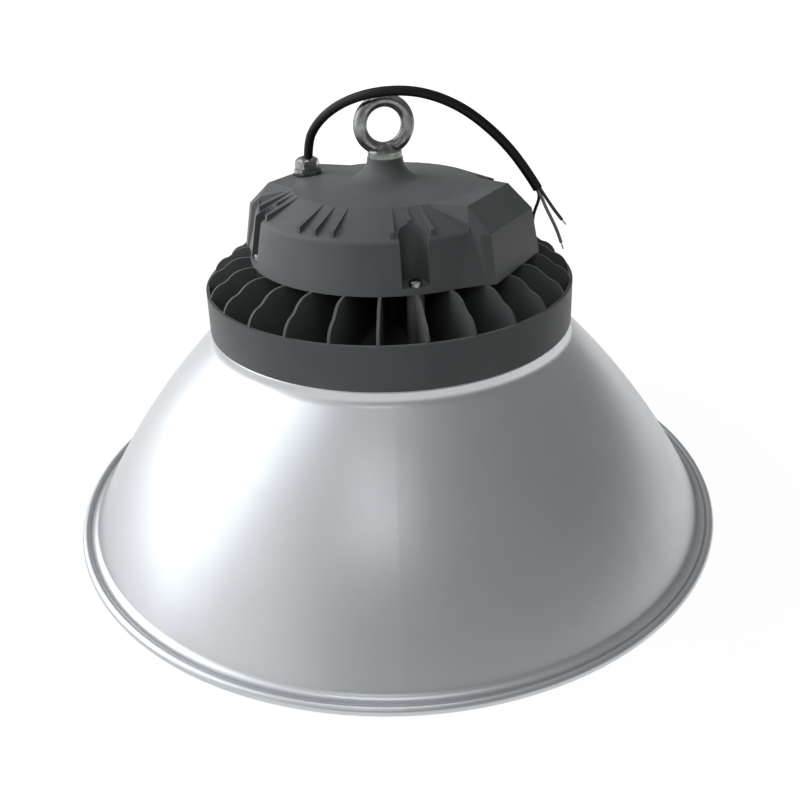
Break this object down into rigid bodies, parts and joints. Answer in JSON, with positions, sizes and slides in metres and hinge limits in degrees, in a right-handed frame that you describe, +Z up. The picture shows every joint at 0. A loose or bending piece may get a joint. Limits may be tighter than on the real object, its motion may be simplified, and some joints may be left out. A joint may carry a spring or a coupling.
{
  "type": "high bay light",
  "caption": "Hanging high bay light: spun aluminium bell reflector under a finned die-cast heat sink and driver housing, with lifting eye, gland and cable.",
  "frame": {"origin": "centre of the reflector's rim, in the plane that the rim stands on", "axes": "+Z up along the lamp's axis to the lifting eye, -Y towards the viewer"},
  "size_m": [0.5, 0.5, 0.3247],
  "materials": {
    "housing_paint": "satin grey powder coat on die-cast aluminium",
    "sink_paint": "satin dark grey powder coat",
    "reflector_aluminium": "spun and brushed, clear anodised",
    "plated_steel": "bright zinc plate",
    "nickel_brass": "nickel plate",
    "screw_steel": "zinc plate",
    "cable_jacket": "smooth black rubber",
    "black_rubber": "matt",
    "silicone": "translucent white silicone",
    "core_black": "satin insulation",
    "core_dark": "satin insulation",
    "core_grey": "satin insulation",
    "copper": "bare strands",
    "plate_aluminium": "rolled sheet",
    "driver_case": "extruded, natural",
    "terminal_plastic": "moulded",
    "board_white": "white solder mask on aluminium",
    "chip_phosphor": "phosphor",
    "clear_glass": "clear tempered glass"
  },
  "bodies": {
    "root": {"reflector": "reflector_aluminium", "reflector_screws": "screw_steel", "heat_sink": "sink_paint", "driver_housing": "housing_paint", "housing_screws": "screw_steel", "closing_plate": "plate_aluminium", "housing_gasket": "black_rubber", "plate_screws": "screw_steel", "led_driver": "driver_case", "driver_brackets": "plate_aluminium", "driver_screws": "screw_steel", "terminal_block": "terminal_plastic", "earth_screw": "screw_steel", "earth_lug": "nickel_brass", "inner_cores": "core_dark", "input_lead": "core_black", "output_lead": "core_black", "lead_grommet": "black_rubber", "led_board": "board_white", "led_chips": "chip_phosphor", "board_screws": "screw_steel", "board_connector": "terminal_plastic", "lens_gasket": "silicone", "lens_cover": "clear_glass", "lens_ring": "sink_paint", "lens_screws": "screw_steel", "eye_bolt": "plated_steel", "gland_washer": "black_rubber", "gland_body": "nickel_brass", "gland_seal": "black_rubber", "gland_cap": "nickel_brass", "gland_locknut": "nickel_brass", "mains_cable": "cable_jacket", "copper_tips": "copper", "core_line": "core_black", "core_neutral": "core_dark", "core_earth": "core_grey"}
  },
  "joints": []
}
